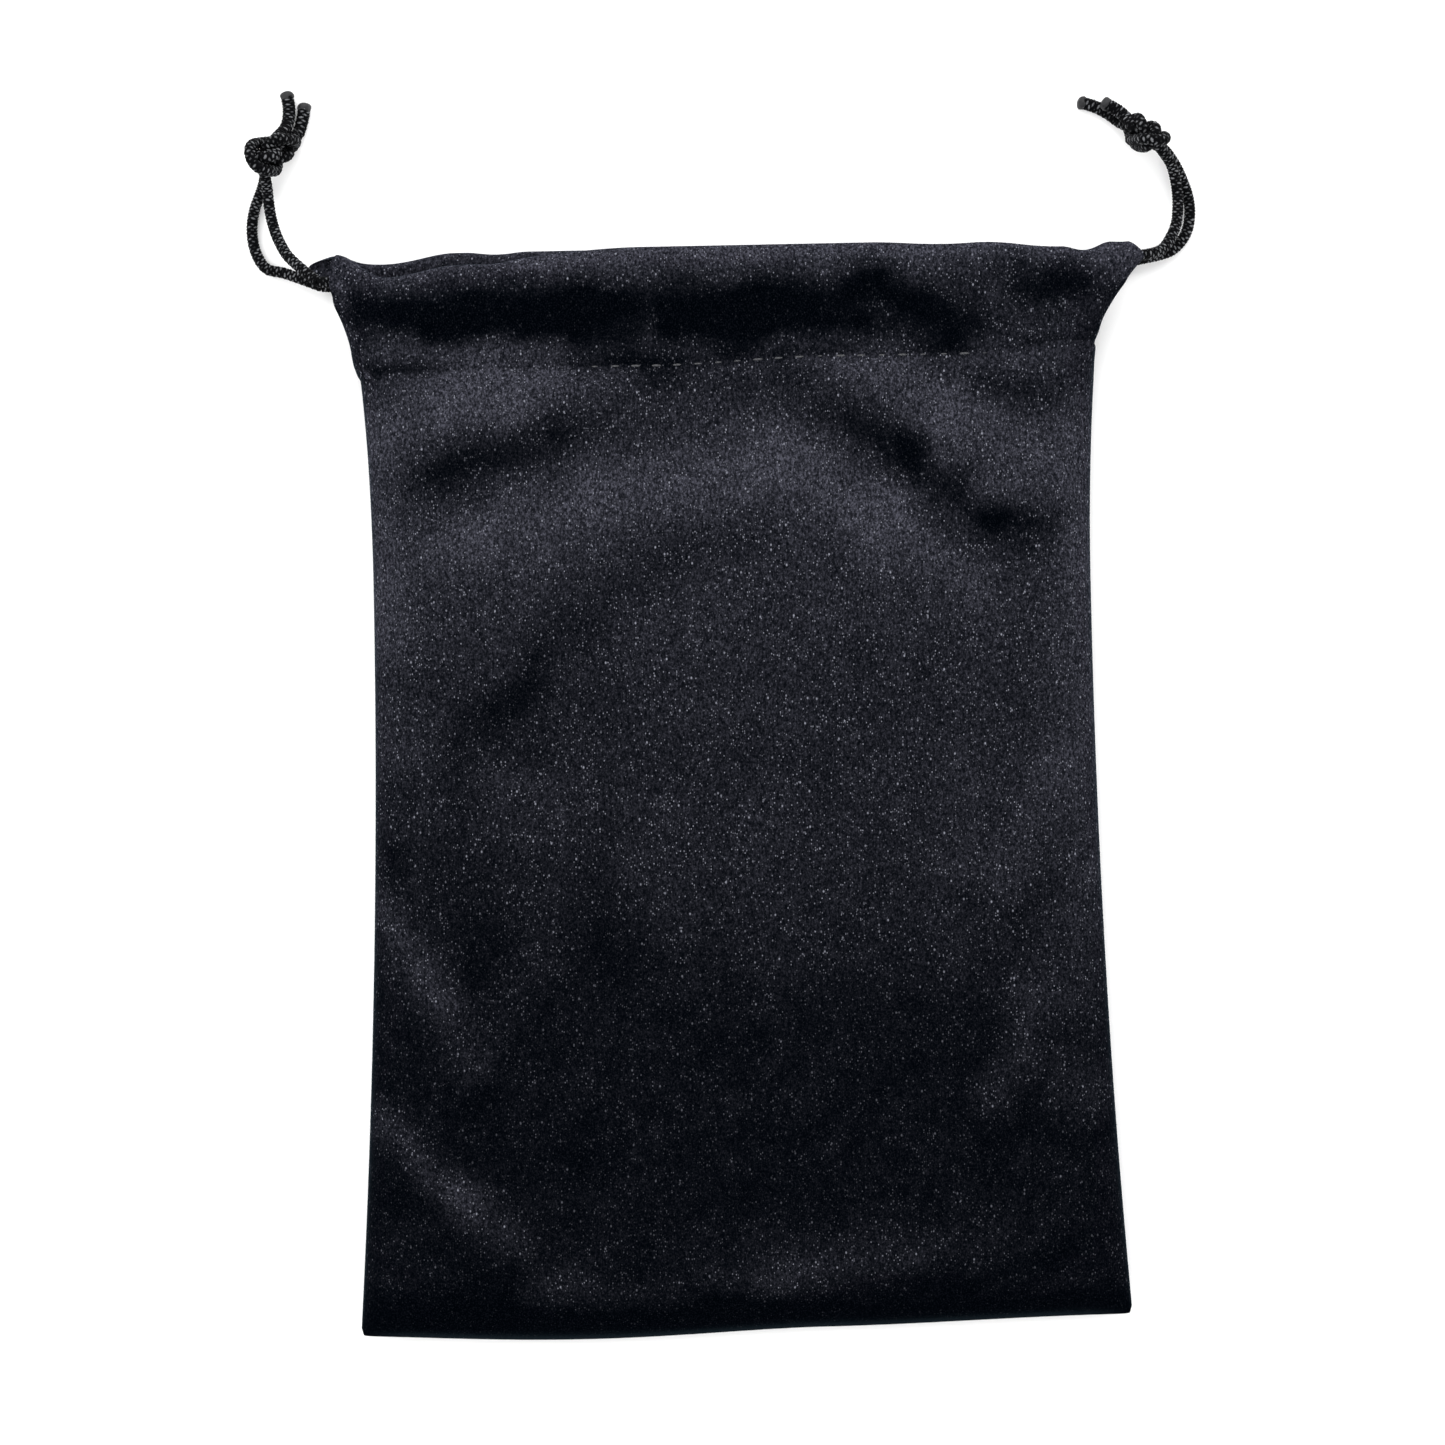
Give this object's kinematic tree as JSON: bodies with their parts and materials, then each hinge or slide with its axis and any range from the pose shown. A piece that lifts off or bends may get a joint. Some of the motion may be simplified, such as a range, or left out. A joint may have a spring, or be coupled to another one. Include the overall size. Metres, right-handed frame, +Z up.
{
  "type": "drawstring dice bag",
  "caption": "Flat velvet pouch with a cord casing round its mouth and a knotted braided drawcord leaving each top corner.",
  "frame": {"origin": "middle of the bag's footprint on the surface that it lies on, without its loose cord tails", "axes": "+Y from the bottom seam to the mouth, +X across the bag to the right, +Z up from the back panel to the front panel"},
  "size_m": [0.1577, 0.2062, 0.012],
  "materials": {
    "velvet": "short-nap black velvet with a soft blue-grey sheen",
    "thread": "matte black sewing thread",
    "cord": "round braided black polyester cord",
    "melted_end": "heat-sealed cord end"
  },
  "bodies": {
    "bag": {"front_panel": "velvet", "back_panel": "velvet", "front_casing": "velvet", "back_casing": "velvet", "front_hem_stitching": "thread", "back_hem_stitching": "thread", "left_seam_allowance": "velvet", "right_seam_allowance": "velvet", "bottom_seam_allowance": "velvet", "left_seam_stitching": "thread", "right_seam_stitching": "thread", "bottom_seam_stitching": "thread"},
    "left_cord": {"left_cord_run": "cord"},
    "left_tail": {"left_tail_front": "cord", "left_tail_back": "cord", "left_knot": "cord", "left_cord_tips": "melted_end"},
    "right_cord": {"right_cord_run": "cord"},
    "right_tail": {"right_tail_front": "cord", "right_tail_back": "cord", "right_knot": "cord", "right_cord_tips": "melted_end"}
  },
  "joints": [
    {"name": "left_pull", "type": "slide", "parent": "bag", "child": "left_cord", "axis": [-1, 0, 0], "range_m": [0, 0.05], "deforming": ["front_casing", "back_casing"]},
    {"name": "left_tail_swing", "type": "hinge", "parent": "left_cord", "child": "left_tail", "pos_m": [-0.0679, 0.0861, 0], "axis": [0, 0, 1], "range_deg": [-35, 35]},
    {"name": "right_pull", "type": "slide", "parent": "bag", "child": "right_cord", "axis": [1, 0, 0], "range_m": [0, 0.05], "deforming": ["front_casing", "back_casing"]},
    {"name": "right_tail_swing", "type": "hinge", "parent": "right_cord", "child": "right_tail", "pos_m": [0.0679, 0.0839, 0], "axis": [0, 0, 1], "range_deg": [-35, 35]}
  ]
}
